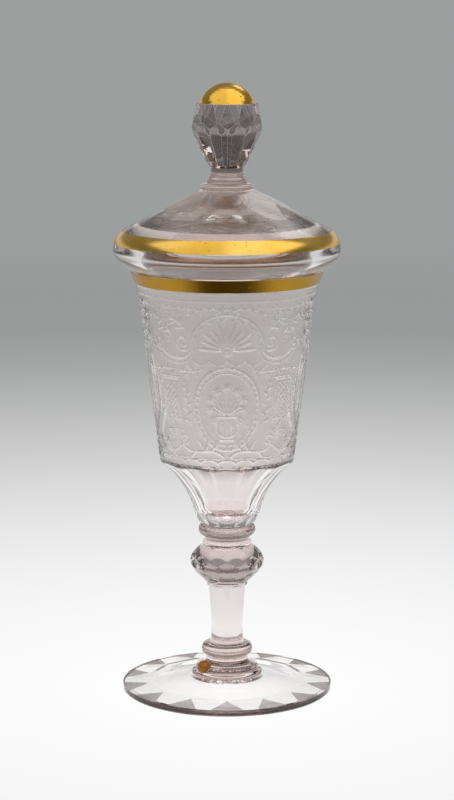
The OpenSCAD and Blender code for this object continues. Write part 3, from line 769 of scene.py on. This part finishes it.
# The table glows instead of being lit: painted light, brightest round the glass and fading to grey with
# distance.
table_light = bpy.data.materials.new("table_painted_light")
table_light.use_nodes = True
nodes, links = table_light.node_tree.nodes, table_light.node_tree.links
nodes.clear()
out = nodes.new("ShaderNodeOutputMaterial")
glow = nodes.new("ShaderNodeEmission")
place = nodes.new("ShaderNodeTexCoord")
far = nodes.new("ShaderNodeVectorMath")
far.operation = "LENGTH"
span = nodes.new("ShaderNodeMapRange")
span.inputs["From Max"].default_value = 2.0
fade = nodes.new("ShaderNodeValToRGB")
# Each tone of the painted light, grey, with its share of the way to two metres off
tones = ((0.03, 0.98), (0.08, 0.935), (0.125, 0.885), (0.18, 0.81), (0.24, 0.715), (0.315, 0.60),
         (0.40, 0.486), (0.50, 0.384), (0.61, 0.322), (0.76, 0.315), (1.0, 0.335))
for at, _ in tones[1:-1]:
    fade.color_ramp.elements.new(at)
for element, (at, tone) in zip(fade.color_ramp.elements, tones):
    element.position = at
    cool = 0.035 * min(1, max(0, at - 0.35) / 0.3)
    element.color = (tone * (1 - 0.4 * cool), tone * (1 + 0.8 * cool), tone * (1 + 0.6 * cool), 1)
links.new(place.outputs["Object"], far.inputs[0])
links.new(far.outputs["Value"], span.inputs["Value"])
links.new(span.outputs["Result"], fade.inputs["Fac"])
links.new(fade.outputs["Color"], glow.inputs["Color"])
links.new(glow.outputs["Emission"], out.inputs["Surface"])
# The lit table is brighter than the white of the picture, which the camera cuts off
path = nodes.new("ShaderNodeLightPath")
excess = nodes.new("ShaderNodeMapRange")
excess.inputs["To Min"].default_value = 1.15
excess.inputs["To Max"].default_value = 1.0
links.new(path.outputs["Is Camera Ray"], excess.inputs["Value"])
links.new(excess.outputs["Result"], glow.inputs["Strength"])
table.data.materials.append(table_light)

# A black card before the glass keeps the front of the gold dark, out of the camera's sight
bpy.ops.mesh.primitive_plane_add(size=1, location=(0, 0, 0))
card = bpy.context.object
card.name = "black_card"
bpy.ops.object.mode_set(mode="EDIT")
bpy.ops.mesh.select_all(action="SELECT")
bpy.ops.transform.resize(value=(0.60, 1.0, 1))
bpy.ops.transform.translate(value=(-0.02, -0.62, 0.0002))
bpy.ops.object.mode_set(mode="OBJECT")
card.visible_camera = False
black = bpy.data.materials.new("black_card")
black.use_nodes = True
nodes, links = black.node_tree.nodes, black.node_tree.links
nodes["Principled BSDF"].inputs["Base Color"].default_value = (0.13, 0.10, 0.07, 1)
nodes["Principled BSDF"].inputs["Specular IOR Level"].default_value = 0.0
path = nodes.new("ShaderNodeLightPath")
through = nodes.new("ShaderNodeBsdfTransparent")
either = nodes.new("ShaderNodeMixShader")
place = nodes.new("ShaderNodeTexCoord")
across = nodes.new("ShaderNodeSeparateXYZ")
edge = nodes.new("ShaderNodeMath")
edge.operation = "ABSOLUTE"
soft = nodes.new("ShaderNodeMapRange")
soft.interpolation_type = "SMOOTHSTEP"
soft.inputs["From Min"].default_value = 0.10
soft.inputs["From Max"].default_value = 0.29
clear = nodes.new("ShaderNodeMath")
clear.operation = "MAXIMUM"
links.new(place.outputs["Object"], across.inputs["Vector"])
links.new(across.outputs["X"], edge.inputs[0])
links.new(edge.outputs["Value"], soft.inputs["Value"])
links.new(soft.outputs["Result"], clear.inputs[0])
links.new(path.outputs["Is Transmission Ray"], clear.inputs[1])
links.new(clear.outputs["Value"], either.inputs["Fac"])
links.new(nodes["Principled BSDF"].outputs["BSDF"], either.inputs[1])
links.new(through.outputs["BSDF"], either.inputs[2])
links.new(either.outputs["Shader"], nodes["Material Output"].inputs["Surface"])
card.data.materials.append(black)

for name, at, turn, size, power in (("soft_box_left", (-0.75, -0.62, 1.10), (18, 0, 0), (1.5, 2.1), 9.5),
                                    ("soft_box_right", (0.75, -0.62, 1.10), (18, 0, 0), (1.5, 2.1), 12.5),
                                    ("back_light", (0.36, 0.80, 1.00), (-46, 0, -24), (0.36, 0.36), 0.55)):
    lamp = bpy.data.lights.new(name, "AREA")
    lamp.shape = "RECTANGLE"
    lamp.size, lamp.size_y = size
    lamp.energy = power
    stand = bpy.data.objects.new(name, lamp)
    stand.location = at
    stand.rotation_euler = [math.radians(a) for a in turn]
    scene.collection.objects.link(stand)

# The room is grey behind the table and dim on the camera's side
room = bpy.data.worlds.new("room")
scene.world = room
room.use_nodes = True
nodes, links = room.node_tree.nodes, room.node_tree.links
back = nodes["Background"]
way = nodes.new("ShaderNodeTexCoord")
split = nodes.new("ShaderNodeSeparateXYZ")
depth = nodes.new("ShaderNodeMapRange")
depth.inputs["From Min"].default_value = -1.0
walls = nodes.new("ShaderNodeValToRGB")
walls.color_ramp.elements[0].position = 0.15
walls.color_ramp.elements[0].color = (0.07, 0.068, 0.068, 1)
walls.color_ramp.elements[1].position = 0.75
walls.color_ramp.elements[1].color = (0.36, 0.363, 0.36, 1)
height = nodes.new("ShaderNodeValToRGB")
for at, tone in ((0.09, 2.0), (0.20, 2.0), (0.27, 0.7)):
    height.color_ramp.elements.new(at).color = (tone, tone, tone, 1)
height.color_ramp.elements[0].position = 0.05
height.color_ramp.elements[0].color = (1, 1, 1, 1)
height.color_ramp.elements[-1].color = (0.8, 0.8, 0.8, 1)
lit = nodes.new("ShaderNodeMix")
lit.data_type = "RGBA"
lit.blend_type = "MULTIPLY"
lit.inputs["Factor"].default_value = 1.0
path = nodes.new("ShaderNodeLightPath")
seen = nodes.new("ShaderNodeMix")
seen.data_type = "RGBA"
seen.inputs["B"].default_value = (0.335, 0.338, 0.335, 1)
links.new(way.outputs["Generated"], split.inputs["Vector"])
links.new(split.outputs["Y"], depth.inputs["Value"])
links.new(depth.outputs["Result"], walls.inputs["Fac"])
links.new(split.outputs["Z"], height.inputs["Fac"])
links.new(walls.outputs["Color"], lit.inputs["A"])
links.new(height.outputs["Color"], lit.inputs["B"])
links.new(lit.outputs["Result"], seen.inputs["A"])
links.new(path.outputs["Is Camera Ray"], seen.inputs["Factor"])
links.new(seen.outputs["Result"], back.inputs["Color"])

# The camera looks down on the glass by ten degrees from a little over a metre
view = bpy.data.cameras.new("camera")
camera = bpy.data.objects.new("camera", view)
camera.location = (0.0, -1.183, 0.354)
camera.rotation_euler = (math.radians(80), 0, 0)
view.lens = 110.25
view.sensor_width = 36
scene.collection.objects.link(camera)
scene.camera = camera
scene.view_settings.view_transform = "Standard"
scene.cycles.max_bounces = 32
scene.cycles.transmission_bounces = 32
scene.cycles.transparent_max_bounces = 32
scene.cycles.glossy_bounces = 8
